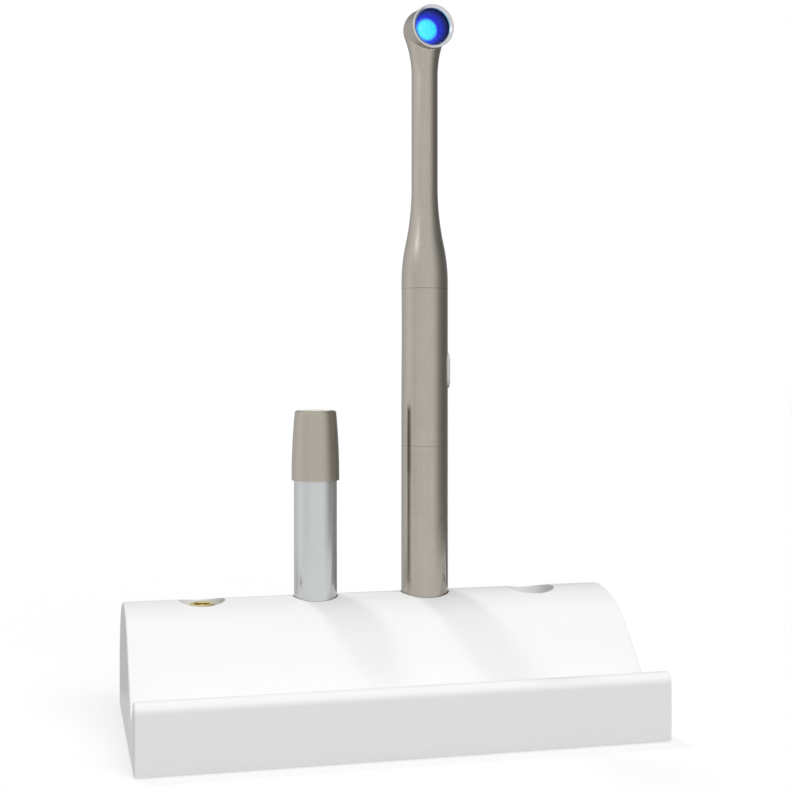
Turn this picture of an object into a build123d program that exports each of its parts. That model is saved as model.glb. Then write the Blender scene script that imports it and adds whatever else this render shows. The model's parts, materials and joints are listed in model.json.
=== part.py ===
from build123d import *
import math
import os

# Pen-shaped dental curing light standing in a four-place charging base, with a spare battery pack.
# Millimetres, +Z up. The origin is on the table, under the middle of the base; -Y is the front.

# Base: side outline, with heights counted from the underside of its shell
base_length = 167.2
base_depth = 86.4
crest_height = 39.3
crest_rear_radius = 24.1
lip_height = 21.0
lip_radius = 3.2
lip_back_angle = 45.0
valley_radius = 8.0
valley_height = 12.35
slope_angle = 44.4
rear_foot_radius = 3.5
end_edge_radius = 0.7
shell_wall = 2.2
rim_radius = 0.15

# Base: cover, feet, weight and screws
cover_thickness = 2.0
cover_gap = 0.15
cover_ledge = 1.0
foot_height = 0.6
foot_radius = 5.0
foot_recess = 0.8
foot_inset_x = 17.0
foot_inset_y = 10.0
ballast_thickness = 4.0
ballast_end_room = 13.6
ballast_width = 26.0
ballast_inset = 5.0
screw_radius = 1.45
screw_head_radius = 2.7
screw_head_height = 1.2
screw_length = 9.0
screw_boss_radius = 3.6
screw_inset = 6.7
screw_fit = 0.05

# Base: charging board and power inlet
board_end_room = 13.6
board_front_reach = 14.0
board_rear_reach = 18.0
board_thickness = 1.6
board_lift = 2.2
board_post_radius = 3.0
board_post_inset = 8.0
chip_width = 5.0
chip_length = 4.4
chip_height = 1.2
capacitor_radius = 2.5
capacitor_height = 6.0
inlet_width = 9.0
inlet_height = 11.0
inlet_length = 13.8
inlet_nose_radius = 4.0
inlet_nose_drop = 0.3
inlet_bore_radius = 2.9
inlet_bore_depth = 9.0
inlet_pin_radius = 1.0
inlet_pin_drop = 1.5
inlet_gap = 0.2

# Base: the four stations, from the left two battery sockets and two handpiece wells
station_end_room = 26.0
station_from_rear = 24.4
station_seat_height = 33.0
dock_floor_height = 12.0
socket_floor_height = 28.5
socket_clearance = 0.3
well_clearance = 0.25
station_wall = 1.9
well_floor = 1.6
socket_floor = 3.0
socket_skirt_wall = 2.0

# Coaxial contact post, in the sockets and in the handpiece
post_radius = 4.1
post_bore_radius = 2.8
post_height = 10.2
post_core_drop = 1.0
post_pin_radius = 0.8
post_pin_drop = 0.3
post_root = 4.0
post_leg_radius = 0.6
post_clearance = 0.15
post_end_gap = 0.3
fit_gap = 0.02

# Sprung contacts in the floor of a handpiece well
plunger_radius = 6.0
plunger_thickness = 1.0
plunger_clearance = 0.15
plunger_travel = 1.0
plunger_pin_radius = 0.75
plunger_pin_clearance = 0.1
plunger_ring_reach = 4.3
plunger_touch_gap = 0.05
spring_radius = 2.8
spring_wire_radius = 0.15
spring_turns = 3.0

# Battery pack
can_radius = 7.3
can_wall = 0.25
can_length = 50.7
can_in_cap = 3.5
can_edge_radius = 0.2
cap_length = 23.6
cap_shoulder_radius = 8.12
cap_end_radius = 7.0
cap_edge_radius = 0.9
cell_radius = 7.0
cell_length = 43.0
cell_nub_radius = 2.8
cell_nub_height = 0.4
cell_edge_radius = 0.4
cell_end_room = 0.3
plug_floor = 1.0
plug_rim_drop = 0.4
plug_lining = 0.5
plug_lining_margin = 0.6
plug_button_radius = 1.5
pack_board_thickness = 1.0
tail_ring_radius = 5.5
tail_ring_hole = 3.2
tail_button_radius = 2.2
tail_contact_thickness = 0.6
tail_stem_radius = 0.8

# Handpiece body
tube_radius = 8.05
lower_tube_wall = 0.55
upper_tube_wall = 0.8
lower_tube_length = 54.8
upper_tube_length = 54.15
tube_end_chamfer = 0.06
coupler_lower_reach = 3.8
coupler_upper_reach = 4.0
driver_board_width = 13.0
driver_board_thickness = 1.0
driver_chip_length = 6.0
driver_chip_height = 1.6
coil_radius = 2.2
coil_height = 3.2

# Push button, facing +X
button_above_seam = 25.8
button_length = 12.8
button_width = 6.8
button_proud = 0.8
button_travel = 0.5
button_side_clearance = 0.12
button_flange_margin = 0.9
button_flange_thickness = 0.7
button_stem_radius = 1.6
button_crown_length = 2.7
button_crown_radius = 6.0
button_edge_radius = 0.2
switch_size = 6.0
switch_height = 3.4
switch_key_radius = 1.7
switch_touch_gap = 0.03

# Swivel between the handpiece body and the neck
spigot_radius = 4.95
spigot_bore_radius = 2.95
spigot_length = 10.2
spigot_flange_thickness = 3.0
swivel_clearance = 0.05
swivel_gap = 0.04
collar_length = 8.0
ring_radius = 6.2
ring_thickness = 1.0
ring_groove_depth = 0.7
ring_mouth = 5.5
o_ring_wire_radius = 0.6
o_ring_drop = 2.2
jack_radius = 4.2
jack_length = 7.8
jack_drop = 11.2
plug_tip_radius = 1.75
plug_tip_length = 6.4
plug_tip_clearance = 0.05

# Neck and head
neck_rim_length = 1.75
neck_taper_length = 33.2
neck_radius = 4.52
neck_convex_share = 0.4
neck_flare_above_seam = 73.65
head_above_seam = 89.35
head_radius = 7.38
neck_wall = 1.0
head_turn = 6.5
barrel_radius = 7.3
barrel_reach = 8.2
barrel_fillet_radius = 0.9
bezel_radius = 7.42
bezel_flange = 0.4
bezel_edge = 0.12
bezel_opening_radius = 6.2
bezel_mouth_radius = 6.9
bezel_mouth_depth = 1.35
bezel_land = 0.12
bezel_spigot_wall = 0.5
barrel_lip_wall = 0.4
lens_thickness = 1.2
lens_gap = 0.1
reflector_wall = 0.5
reflector_back_radius = 4.3
emitter_radius = 3.8
emitter_thickness = 0.5
led_board_thickness = 1.0
led_board_front = 1.3
led_board_margin = 0.15
lead_radius = 0.4
lead_spread = 0.8
lead_end_drop = 5.3

# A cutting body passes the face that it opens by this much
overcut = 1.0

# Heights above the table that follow from the sizes
shell_under = foot_height
cover_top = shell_under + cover_thickness
board_low = cover_top + board_lift
board_high = board_low + board_thickness
crest_z = shell_under + crest_height
tube_low = dock_floor_height + cap_length
seam_z = tube_low + lower_tube_length
neck_seam_z = seam_z + upper_tube_length
head_z = neck_seam_z + head_above_seam
pack_length = can_length + cap_length
docked_contact_z = dock_floor_height + pack_length
coupler_low = seam_z - coupler_lower_reach
coupler_high = seam_z + coupler_upper_reach

# Plan positions that follow from the sizes
front_y = -base_depth / 2
rear_y = base_depth / 2
station_y = rear_y - station_from_rear
station_pitch = (base_length - 2 * station_end_room) / 3
station_x = [(i - 1.5) * station_pitch for i in range(4)]
socket_x = station_x[:2]
well_x = station_x[2:]
board_front = station_y - board_front_reach
board_rear = station_y + board_rear_reach
board_length = base_length - 2 * board_end_room
ballast_length = base_length - 2 * ballast_end_room

# Radii that follow from the fits
socket_bore = can_radius + socket_clearance
well_bore = cap_shoulder_radius + well_clearance
lower_bore = tube_radius - lower_tube_wall
upper_bore = tube_radius - upper_tube_wall
can_bore = can_radius - can_wall
plug_recess = post_radius + post_clearance
plug_recess_depth = post_height + post_end_gap
plug_length = plug_recess_depth + plug_floor
head_bore = head_radius - neck_wall
well_pocket = plunger_radius + plunger_clearance
well_floor_under = dock_floor_height - well_floor


def rod(radius, low, high):
    """Upright cylinder on the axis, from one height to another."""
    return Pos(0, 0, low) * Cylinder(radius, high - low, align=(Align.CENTER, Align.CENTER, Align.MIN))


def tube(outer, inner, low, high):
    """Upright hollow cylinder."""
    return rod(outer, low, high) - rod(inner, low - overcut, high + overcut)


def block(x_size, y_size, low, high):
    """Upright block centred on the axis."""
    return Pos(0, 0, low) * Box(x_size, y_size, high - low, align=(Align.CENTER, Align.CENTER, Align.MIN))


def turned(edges):
    """Solid of revolution from edges drawn as radius and height."""
    return revolve(Plane.XZ * make_face(Curve() + edges), Axis.Z)


def along(direction, distance):
    """Plan offset at an angle in degrees, counted from the first axis."""
    return (distance * math.cos(math.radians(direction)), distance * math.sin(math.radians(direction)))


def shifted(point, direction, distance):
    """A plane point moved by a distance at an angle."""
    step = along(direction, distance)
    return (point[0] + step[0], point[1] + step[1])


def base_outline(inset):
    """Side outline of the base in Y and Z, moved inward by inset, as a face."""
    lip_centre = (front_y + lip_radius, shell_under + lip_height - lip_radius)
    rear_centre = (rear_y - crest_rear_radius, crest_z - crest_rear_radius)
    foot_centre = (rear_y - rear_foot_radius, shell_under + rear_foot_radius)

    # The valley arc touches the back of the lip and the slope
    lip_normal = 90 - lip_back_angle
    lip_out = along(lip_normal, 1)
    valley_z = shell_under + valley_height + valley_radius
    reach = lip_radius + valley_radius - lip_out[1] * (valley_z - lip_centre[1])
    valley_centre = (lip_centre[0] + reach / lip_out[0], valley_z)
    slope_normal = 90 + slope_angle
    slope_foot = shifted(valley_centre, slope_normal, -valley_radius)

    # The front arc of the crest starts level with the rear one and touches the slope
    slope_out = along(slope_normal, 1)
    fall_y, fall_z = slope_foot[0] - rear_centre[0], slope_foot[1] - crest_z
    crest_front_radius = (slope_out[0] * fall_y + slope_out[1] * fall_z) / (1 - slope_out[1])
    front_centre = (rear_centre[0], crest_z - crest_front_radius)

    low = shell_under + inset
    lip_small = lip_radius - inset
    valley_large = valley_radius + inset
    front_small = crest_front_radius - inset
    rear_small = crest_rear_radius - inset
    foot_small = rear_foot_radius - inset
    edges = [
        Line((front_y + inset, low), (front_y + inset, lip_centre[1])),
        CenterArc(lip_centre, lip_small, 180, lip_normal - 180),
        Line(shifted(lip_centre, lip_normal, lip_small),
             shifted(valley_centre, lip_normal - 180, valley_large)),
        CenterArc(valley_centre, valley_large, lip_normal + 180, slope_normal - lip_normal),
        Line(shifted(valley_centre, slope_normal - 180, valley_large),
             shifted(front_centre, slope_normal, front_small)),
        CenterArc(front_centre, front_small, slope_normal, 90 - slope_normal),
        CenterArc(rear_centre, rear_small, 90, -90),
        Line((rear_y - inset, rear_centre[1]), (rear_y - inset, foot_centre[1])),
        CenterArc(foot_centre, foot_small, 0, -90),
        Line((foot_centre[0], low), (front_y + inset, low)),
    ]
    return Plane.YZ * make_face(Curve() + edges)


def cover_outline(gap, high):
    """Plan of the opening in the underside, as a block from the underside up to a height."""
    x_size = base_length - 2 * (shell_wall + gap)
    y_low = front_y + shell_wall + gap
    y_high = rear_y - rear_foot_radius - cover_ledge - gap
    return Pos(0, (y_low + y_high) / 2, 0) * block(x_size, y_high - y_low, shell_under, high)


def corner_places(inset_x, inset_y):
    """Four corners of the underside, inset from its sides."""
    x = base_length / 2 - inset_x
    return [(sx * x, y) for sx in (-1, 1) for y in (front_y + inset_y, rear_y - inset_y)]


screw_places = corner_places(screw_inset, screw_inset + 2 * screw_boss_radius - shell_wall)
foot_places = corner_places(foot_inset_x, foot_inset_y)


def at_places(piece, places):
    """Copies of a piece at plan positions."""
    return [Pos(x, y, 0) * piece for x, y in places]


def base_shell():
    """White outer shell: a bent roof over closed ends, with bosses for the stations and screws."""
    solid = extrude(base_outline(0), base_length / 2, both=True)
    ends = solid.faces().filter_by(Axis.X)
    solid = fillet(ends.edges(), end_edge_radius)
    room = extrude(base_outline(shell_wall), base_length / 2 - shell_wall, both=True)
    shell = solid - room - cover_outline(0, max(cover_top, shell_under + shell_wall))

    # Bosses hang from the roof, so each is a column trimmed by the outer form
    columns = [Pos(x, station_y, 0) * rod(socket_bore + station_wall, station_seat_height, crest_z)
               for x in socket_x]
    columns += [Pos(x, station_y, 0) * rod(well_bore + station_wall, station_seat_height, crest_z)
                for x in well_x]
    columns += at_places(rod(screw_boss_radius, cover_top, crest_z), screw_places)
    inner_form = extrude(base_outline(shell_wall / 2), base_length / 2 - shell_wall / 2, both=True)
    for column in columns:
        shell += column & inner_form

    # Mouths of the stations, screw holes and the round hole for the inlet
    for x in socket_x:
        shell -= Pos(x, station_y, 0) * rod(socket_bore, station_seat_height - overcut, crest_z + overcut)
    for x in well_x:
        shell -= Pos(x, station_y, 0) * rod(well_bore, station_seat_height - overcut, crest_z + overcut)
    screw_hole = rod(screw_radius + screw_fit, cover_top - overcut, cover_top + screw_length)
    for piece in at_places(screw_hole, screw_places):
        shell -= piece
    outward = Pos(0, rear_y, inlet_z) * Rot(90, 0, 0)
    shell -= outward * rod(inlet_nose_radius + inlet_gap, -overcut, 2 * shell_wall)

    # The rims of the four mouths are eased
    above = station_seat_height + 1
    rims = [edge for edge in shell.edges().filter_by(lambda e: e.center().Z > above)
            if any(abs(edge.center().X - x) < station_pitch / 4 for x in station_x)
            and abs(edge.center().Y - station_y) < station_wall + well_bore
            and edge.bounding_box().size.X < 2 * well_bore + station_wall]
    return fillet(rims, rim_radius)


def base_cover():
    """Flat cover that closes the underside, with pockets for feet and posts under the board."""
    cover = cover_outline(cover_gap, cover_top)
    post = rod(board_post_radius, cover_top, board_low)
    rows = (board_front + 2 * board_post_radius, board_rear - 2 * board_post_radius)
    post_x = board_length / 2 - board_post_inset
    for piece in at_places(post, [(s * post_x, y) for s in (-1, 1) for y in rows]):
        cover += piece
    for piece in at_places(rod(foot_radius, shell_under - overcut, shell_under + foot_recess), foot_places):
        cover -= piece
    hole = rod(screw_radius + 2 * screw_fit, shell_under - overcut, cover_top + overcut)
    hole += rod(screw_head_radius + 2 * screw_fit, shell_under - overcut, shell_under + screw_head_height)
    for piece in at_places(hole, screw_places):
        cover -= piece
    return cover


def rubber_foot():
    """Flat round foot, set in a pocket of the cover."""
    foot = rod(foot_radius - fit_gap, 0, shell_under + foot_recess)
    return fillet(foot.edges().group_by(Axis.Z)[0], foot_height / 2)


def cover_screw():
    """Countersunk pan screw, its shank in the boss of the shell."""
    head = rod(screw_head_radius, shell_under, shell_under + screw_head_height)
    slot = block(2 * screw_head_radius, screw_radius / 2, shell_under, shell_under + screw_head_height / 2)
    cross = slot + Rot(0, 0, 90) * slot
    core = rod(screw_radius + screw_fit, shell_under - overcut, shell_under + screw_head_height)
    shank = rod(screw_radius, shell_under + screw_head_height, shell_under + screw_length)
    return head - (cross & core) + shank


def ballast_plate():
    """Steel plate that keeps the base down, lying on the cover under the front valley."""
    y = front_y + shell_wall + ballast_inset + ballast_width / 2
    plate = Pos(0, y, 0) * block(ballast_length, ballast_width, cover_top, cover_top + ballast_thickness)
    return fillet(plate.edges().filter_by(Axis.Z), ballast_thickness / 2)


def charging_board():
    """Circuit board under the stations, held down by their skirts."""
    y = (board_front + board_rear) / 2
    return Pos(0, y, 0) * block(board_length, board_rear - board_front, board_low, board_high)


def board_parts():
    """Chips and capacitors on the charging board, in the gaps between the stations."""
    pieces = []
    for x in (-station_pitch, station_pitch):
        for y in (station_y - capacitor_radius * 2, station_y + capacitor_radius):
            chip = block(chip_width, chip_length, board_high, board_high + chip_height)
            pieces.append(Pos(x, y, 0) * chip)
        cap_y = station_y + board_rear_reach - 2 * capacitor_radius
        pieces.append(Pos(x, cap_y, 0) * rod(capacitor_radius, board_high, board_high + capacitor_height))
    return pieces


inlet_z = board_high + inlet_height / 2
inlet_front = rear_y - shell_wall - inlet_gap


def power_inlet():
    """Round low-voltage inlet: a block on the board with its nose in the rear wall, and a centre pin."""
    body = Pos(0, inlet_front - inlet_length / 2, 0) * block(inlet_width, inlet_length, board_high,
                                                             board_high + inlet_height)
    nose_end = rear_y - inlet_nose_drop
    outward = Pos(0, nose_end, inlet_z) * Rot(90, 0, 0)
    body += outward * rod(inlet_nose_radius, 0, nose_end - inlet_front)
    body -= outward * rod(inlet_bore_radius, -overcut, inlet_bore_depth)
    pin = outward * rod(inlet_pin_radius, inlet_pin_drop, inlet_bore_depth)
    return [body, pin]


def battery_socket():
    """Cup of a battery station with a skirt down to the board, on its own axis."""
    outer = socket_bore + station_wall
    floor_under = socket_floor_height - socket_floor
    cup = rod(outer, board_high, station_seat_height)
    cup -= rod(socket_bore, socket_floor_height, station_seat_height + overcut)
    cup -= rod(outer - socket_skirt_wall, board_high - overcut, floor_under)
    return cup - rod(post_radius + fit_gap, floor_under - overcut, socket_floor_height + overcut)


def contact_post(root, leg):
    """Sleeve, insulating core and pin of a coaxial post; its seat is at height 0, its tip is up."""
    sleeve = tube(post_radius, post_bore_radius, -root, post_height)
    tips = sleeve.edges().group_by(Axis.Z)[-1]
    sleeve = fillet(tips, (post_radius - post_bore_radius) / 5)
    if leg > 0:
        reach = (post_radius + post_bore_radius) / 2
        sleeve += Pos(reach, 0, 0) * rod(post_leg_radius, -root - leg, -root)
    core = rod(post_bore_radius - fit_gap, -root, post_height - post_core_drop)
    core -= rod(post_pin_radius + fit_gap, -root - overcut, post_height)
    pin = rod(post_pin_radius, -root - leg, post_height - post_pin_drop)
    pin = fillet(pin.edges().group_by(Axis.Z)[-1], post_pin_radius / 2)
    return sleeve, core, pin


def cap_edges(grow):
    """Curved side of the pack's cap, from its shoulder at height 0 to its tail, moved outward."""
    fall = cap_shoulder_radius - cap_end_radius
    sweep_radius = cap_length ** 2 / (2 * fall) + fall / 2
    turn = math.degrees(math.asin(cap_length / sweep_radius))
    centre = (cap_shoulder_radius - sweep_radius, 0)
    return CenterArc(centre, sweep_radius + grow, 0, turn)


def cap_form(grow):
    """Solid outer form of the cap with its shoulder at height 0 and its tail up."""
    side = cap_edges(grow)
    tail = side @ 1
    return turned([Line((0, 0), side @ 0), side, Line(tail, (0, tail.Y)), Line((0, tail.Y), (0, 0))])


def handpiece_well():
    """Cup of a handpiece station, shaped to the tail cap, over a pocket for the sprung contacts."""
    cup = rod(well_bore + station_wall, board_high, station_seat_height)
    upside = Pos(0, 0, tube_low) * Rot(180, 0, 0)
    bore = upside * cap_form(well_clearance)
    bore += rod(well_bore, tube_low, tube_low + station_seat_height)
    cup -= bore & rod(well_bore + station_wall, dock_floor_height, station_seat_height + overcut)
    cup -= rod(well_pocket, board_high - overcut, well_floor_under)
    hole_radius = plunger_pin_radius + plunger_pin_clearance
    hole = rod(hole_radius, well_floor_under - overcut, dock_floor_height + overcut)
    return cup - hole - Pos(plunger_ring_reach, 0, 0) * hole


def contact_plunger(drop):
    """Plunger plate, its two pins and its spring; drop is how far a docked tail has pushed it."""
    high = well_floor_under - drop
    low = high - plunger_thickness
    tip = dock_floor_height + plunger_travel - drop
    plate = rod(plunger_radius, low, high)
    hole = rod(plunger_pin_radius + fit_gap, low - overcut, high + overcut)
    plate -= hole
    plate -= Pos(plunger_ring_reach, 0, 0) * hole
    pin = rod(plunger_pin_radius, low, tip)
    pin = fillet(pin.edges().group_by(Axis.Z)[-1], plunger_pin_radius / 2)
    pins = [pin, Pos(plunger_ring_reach, 0, 0) * pin]
    height = low - board_high - 2 * spring_wire_radius - 2 * fit_gap
    coil = Helix(pitch=height / spring_turns, height=height, radius=spring_radius)
    section = Plane(coil @ 0, z_dir=coil % 0) * Circle(spring_wire_radius)
    spring = Pos(0, 0, board_high + spring_wire_radius + fit_gap) * sweep(section, path=coil)
    return plate, pins, spring


def battery_pack():
    """Battery pack with its contact end at height 0 and its tail cap up, as named pieces."""
    can = tube(can_radius, can_bore, 0, can_length + can_in_cap)
    rim = can.faces().filter_by(GeomType.CYLINDER).sort_by(lambda f: f.area)[-1].edges().group_by(Axis.Z)[0]
    can = chamfer(rim, min(can_edge_radius, can_wall / 2))

    # Insulated plug with a lined recess for the post and a button for its pin
    plug = rod(can_bore - fit_gap, plug_rim_drop, plug_length)
    plug -= rod(plug_recess + plug_lining + fit_gap, 0, plug_recess_depth)
    plug -= rod(plug_button_radius + fit_gap, 0, plug_length + overcut)
    lining = tube(plug_recess + plug_lining, plug_recess, plug_rim_drop + plug_lining_margin,
                  plug_recess_depth)
    button_low = post_height - post_pin_drop + post_end_gap + plunger_touch_gap
    button = rod(plug_button_radius, button_low, plug_length)

    board = rod(can_bore - plug_lining / 4, plug_length, plug_length + pack_board_thickness)
    cell_low = plug_length + pack_board_thickness + cell_nub_height
    cell_high = cell_low + cell_length - cell_nub_height
    cell = rod(cell_radius, cell_low, cell_high)
    cell = fillet(cell.edges(), cell_edge_radius)
    cell += rod(cell_nub_radius, cell_low - cell_nub_height, cell_low)

    # Cap over the end of the can and the cell, with two coaxial contacts in its tail
    tail = can_length + cap_length
    cell_room = cell_high + cell_end_room
    form = cap_form(0)
    form = fillet(form.edges().filter_by(GeomType.CIRCLE).group_by(Axis.Z)[-1], cap_edge_radius)
    cap = Pos(0, 0, can_length) * form
    cap -= rod(can_radius + fit_gap, can_length - overcut, can_length + can_in_cap + fit_gap)
    cap -= rod(cell_radius + 2 * fit_gap, can_length, cell_room)
    contact_low = tail - tail_contact_thickness
    cap -= tube(tail_ring_radius + fit_gap, tail_ring_hole - fit_gap, contact_low, tail + overcut)
    cap -= rod(tail_button_radius + fit_gap, contact_low, tail + overcut)
    ring_reach = (tail_ring_radius + tail_ring_hole) / 2
    stem_hole = rod(tail_stem_radius + fit_gap, cell_high, tail)
    cap -= stem_hole
    cap -= Pos(ring_reach, 0, 0) * stem_hole
    stem = rod(tail_stem_radius, cell_high + fit_gap, tail - tail_contact_thickness / 2)
    ring = tube(tail_ring_radius, tail_ring_hole, contact_low, tail) + Pos(ring_reach, 0, 0) * stem
    centre = rod(tail_button_radius, contact_low, tail) + stem
    return {
        "can": can, "cap": cap, "cell": cell, "board": board, "plug": plug,
        "plug_contacts": [lining, button], "tail_contacts": [ring, centre],
    }


def oval(length, width, low, high):
    """Upright-length oval prism standing out along +X, between two distances."""
    face = Plane.YZ * SlotOverall(length, width, rotation=90)
    return Pos(low, 0, 0) * extrude(face, high - low)


button_z = seam_z + button_above_seam
hole_length = button_length + 2 * button_side_clearance
hole_width = button_width + 2 * button_side_clearance
switch_key_top = driver_board_thickness / 2 + switch_height
button_low = switch_key_top + button_travel + switch_touch_gap


def body_tube(bore, low, high):
    """Tube of the handpiece with both its outer rims eased, which leaves a fine line at each joint."""
    body = tube(tube_radius, bore, low, high)
    rims = body.edges().filter_by(GeomType.CIRCLE).filter_by(lambda e: e.radius > (bore + tube_radius) / 2)
    return chamfer(rims, tube_end_chamfer)


def upper_tube():
    """Upper body tube with the oval hole for the button."""
    body = body_tube(upper_bore, seam_z, neck_seam_z)
    return body - Pos(0, 0, button_z) * oval(hole_length, hole_width, 0, 2 * tube_radius)


def tube_coupler():
    """Ring that joins the two tubes and carries the contact post."""
    ring = rod(lower_bore - fit_gap, coupler_low, seam_z) + rod(upper_bore - fit_gap, seam_z, coupler_high)
    return ring - rod(post_radius + fit_gap, coupler_low - overcut, coupler_high + overcut)


jack_low = neck_seam_z - jack_drop - jack_length


def driver_board():
    """Long board on edge in the upper tube, between the coupler and the jack."""
    return block(driver_board_thickness, driver_board_width, coupler_high, jack_low)


def driver_parts():
    """Chips on both sides of the driver board and a coil, clear of the switch."""
    side = driver_board_thickness / 2
    low = coupler_high + driver_chip_length / 2
    chip = Box(driver_chip_height, driver_board_width / 2, driver_chip_length)
    pieces = [Pos(side + driver_chip_height / 2, 0, low + driver_chip_length / 2) * chip]
    pieces.append(Pos(-side - driver_chip_height / 2, 0, low + driver_chip_length / 2) * chip)
    coil = Rot(0, 90, 0) * rod(coil_radius, -coil_height, 0)
    pieces.append(Pos(-side, 0, button_z) * coil)
    return pieces


def button_switch():
    """Square push switch on the driver board, behind the button."""
    side = driver_board_thickness / 2
    body_height = switch_height * 2 / 3
    body = Pos(side + body_height / 2, 0, button_z) * Box(body_height, switch_size, switch_size)
    key = Rot(0, 90, 0) * rod(switch_key_radius, side + body_height, switch_key_top)
    return body + Pos(0, 0, button_z) * key


def button_skin():
    """Round form whose side is the face of the button: straight in the middle, falling away to both ends."""
    outer = tube_radius + button_proud
    flat = button_length / 2 - button_crown_length
    reach = button_crown_length + button_edge_radius
    turn = math.degrees(math.asin(reach / button_crown_radius))
    arcs = outer - button_crown_radius
    end = along(turn, button_crown_radius)
    edges = [
        Line((0, -flat - end[1]), (arcs + end[0], -flat - end[1])),
        CenterArc((arcs, -flat), button_crown_radius, -turn, turn),
        Line((outer, -flat), (outer, flat)),
        CenterArc((arcs, flat), button_crown_radius, 0, turn),
        Line((arcs + end[0], flat + end[1]), (0, flat + end[1])),
        Line((0, flat + end[1]), (0, -flat - end[1])),
    ]
    return turned(edges)


def button_cap():
    """Oval button with a flange behind the tube wall and a stem towards the switch."""
    face = oval(button_length, button_width, upper_bore / 2, 2 * tube_radius)
    flange_high = upper_bore - button_side_clearance
    flange_low = flange_high - button_flange_thickness
    cap = face & button_skin()
    rim = cap.edges().filter_by(lambda e: e.center().X > tube_radius - button_proud)
    cap = fillet(rim, button_edge_radius)
    margin = 2 * button_flange_margin
    flange = oval(button_length + margin, button_width + margin, upper_bore / 2, 2 * tube_radius)
    cap += flange & rod(flange_high, -button_length, button_length)
    cap -= rod(flange_low, -button_length, button_length)
    stem = Rot(0, 90, 0) * rod(button_stem_radius, button_low, flange_high)
    return Pos(0, 0, button_z) * (cap + stem)


def swivel_collar():
    """Bearing collar fixed in the top of the upper tube."""
    low = neck_seam_z - collar_length
    return tube(upper_bore - fit_gap, spigot_radius + swivel_clearance, low, neck_seam_z)


def swivel_jack():
    """Round contact jack on the end of the driver board."""
    jack = rod(jack_radius, jack_low, jack_low + jack_length)
    depth = plug_tip_length + spigot_length - jack_drop + plug_tip_clearance * 4
    return jack - rod(plug_tip_radius + plug_tip_clearance, jack_low + jack_length - depth, neck_seam_z)


ring_low = neck_seam_z - collar_length - swivel_gap - ring_thickness
seal_reach = spigot_radius + swivel_clearance - o_ring_wire_radius - fit_gap


def swivel_spigot():
    """Turned spigot under the neck, with grooves for the seal and the retaining ring."""
    low = neck_seam_z - spigot_length
    high = neck_seam_z + swivel_gap
    body = rod(spigot_radius, low, high)
    body += rod(tube_radius - neck_wall - fit_gap, high, high + spigot_flange_thickness)
    seal_z = neck_seam_z - o_ring_drop
    groove = seal_reach - o_ring_wire_radius - fit_gap
    body -= tube(spigot_radius + overcut, groove, seal_z - o_ring_wire_radius - fit_gap,
                 seal_z + o_ring_wire_radius + fit_gap)
    body -= tube(spigot_radius + overcut, spigot_radius - ring_groove_depth, ring_low - fit_gap,
                 ring_low + ring_thickness + fit_gap)
    return body - rod(spigot_bore_radius, low - overcut, high + spigot_flange_thickness + overcut)


def retaining_ring():
    """Open ring that holds the spigot under the collar."""
    inner = spigot_radius - ring_groove_depth + fit_gap
    ring = tube(ring_radius, inner, ring_low, ring_low + ring_thickness)
    mouth = Pos(ring_radius, 0, 0) * block(2 * ring_radius, ring_mouth, ring_low - overcut, neck_seam_z)
    return ring - mouth


def swivel_seal():
    """Rubber ring that gives the swivel its drag."""
    return Pos(0, 0, neck_seam_z - o_ring_drop) * Torus(seal_reach, o_ring_wire_radius)


def swivel_plug():
    """Coaxial plug fixed in the spigot, its tip in the jack."""
    low = neck_seam_z - spigot_length
    tip = rod(plug_tip_radius, low - plug_tip_length, low)
    tip = fillet(tip.edges().group_by(Axis.Z)[0], plug_tip_radius / 3)
    return tip + rod(spigot_bore_radius - fit_gap, low, neck_seam_z)


def neck_form(inset):
    """Outer form of the neck and the round of the head, moved inward by inset."""
    start = neck_seam_z + swivel_gap
    taper_low = start + neck_rim_length
    fall = tube_radius - neck_radius
    bend = 2 * math.degrees(math.atan(fall / neck_taper_length))
    convex = neck_convex_share * neck_taper_length / math.sin(math.radians(bend))
    concave = (1 - neck_convex_share) * neck_taper_length / math.sin(math.radians(bend))
    taper_high = taper_low + neck_taper_length
    flare_low = neck_seam_z + neck_flare_above_seam
    rise = head_z - flare_low
    gain = head_radius - neck_radius
    flare = (rise ** 2 - gain * (head_radius + neck_radius)) / (2 * gain)
    flare_turn = math.degrees(math.asin(rise / (head_radius + flare)))
    head_start = -flare_turn
    edges = [
        Line((0, start), (tube_radius - inset, start)),
        Line((tube_radius - inset, start), (tube_radius - inset, taper_low)),
        CenterArc((tube_radius - convex, taper_low), convex - inset, 0, bend),
        CenterArc((neck_radius + concave, taper_high), concave + inset, 180 + bend, -bend),
        Line((neck_radius - inset, taper_high), (neck_radius - inset, flare_low)),
        CenterArc((neck_radius + flare, flare_low), flare + inset, 180, -flare_turn),
        CenterArc((0, head_z), head_radius - inset, head_start, 90 - head_start),
        Line((0, head_z + head_radius - inset), (0, start)),
    ]
    return turned(edges)


forward = Pos(0, 0, head_z) * Rot(90, 0, 0)
barrel_lip_bore = barrel_radius - barrel_lip_wall
bezel_front = barrel_reach + bezel_flange
mouth_low = bezel_front - bezel_mouth_depth
lens_front = mouth_low - lens_gap
lens_radius = barrel_lip_bore - fit_gap - bezel_spigot_wall - fit_gap
reflector_front = lens_front - lens_thickness - lens_gap


def neck_shell():
    """Taupe shell of neck and head in one, with the short barrel that the light leaves."""
    shell = neck_form(0) + forward * rod(barrel_radius, 0, barrel_reach)
    corner = [edge for edge in shell.edges().filter_by(GeomType.BSPLINE)
              if edge.center().Z > head_z - 2 * head_radius]
    shell = fillet(corner, barrel_fillet_radius) - neck_form(neck_wall)
    shell -= rod(tube_radius - neck_wall, neck_seam_z, neck_seam_z + swivel_gap + spigot_flange_thickness)
    shell -= forward * rod(head_bore, 0, barrel_reach + overcut)
    return shell - forward * rod(barrel_lip_bore, reflector_front, barrel_reach + overcut)


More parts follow.
